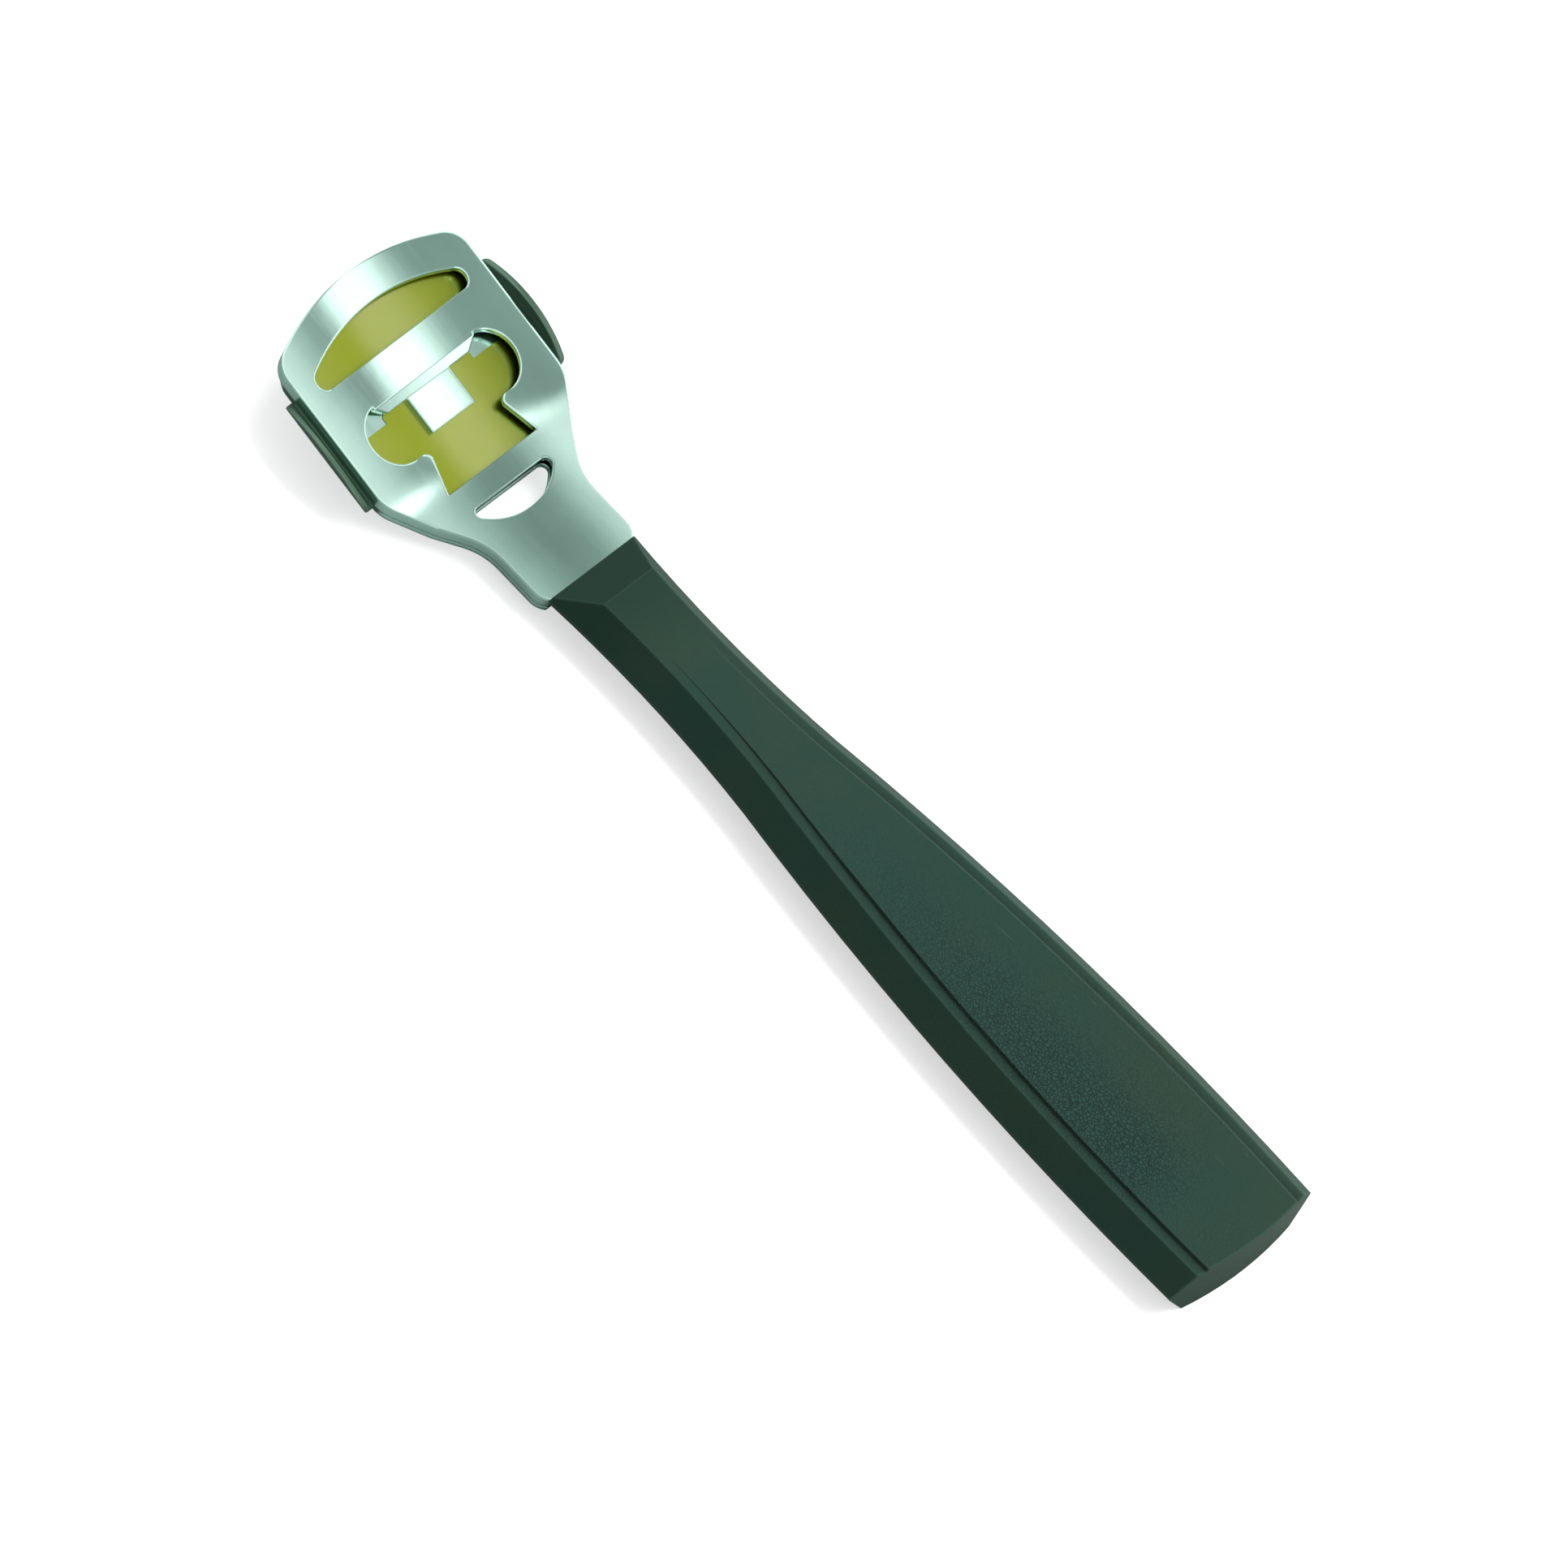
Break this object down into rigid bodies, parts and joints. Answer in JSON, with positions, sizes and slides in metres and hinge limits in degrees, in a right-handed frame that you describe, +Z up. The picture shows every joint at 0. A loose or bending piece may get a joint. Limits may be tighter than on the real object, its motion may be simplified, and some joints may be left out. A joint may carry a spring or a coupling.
{
  "type": "callus shaver",
  "caption": "Callus shaver with a long flared moulded grip and an upswept pressed-metal head that clamps a thin slotted blade under two windows.",
  "frame": {"origin": "centre of the bounding box's bottom face: midway along the whole length, on the symmetry plane, at the height of the grip's flat underside", "axes": "+X along the grip towards the front edge of the head, +Y to the object's left, +Z up from the flat underside"},
  "size_m": [0.1728, 0.0382, 0.0124],
  "materials": {
    "grip_plastic": "satin",
    "cover_chrome": "polished",
    "blade_steel": "satin",
    "sole_chrome": "polished"
  },
  "bodies": {
    "root": {"grip": "grip_plastic", "cover": "cover_chrome", "blade": "blade_steel", "sole": "sole_chrome"}
  },
  "joints": []
}
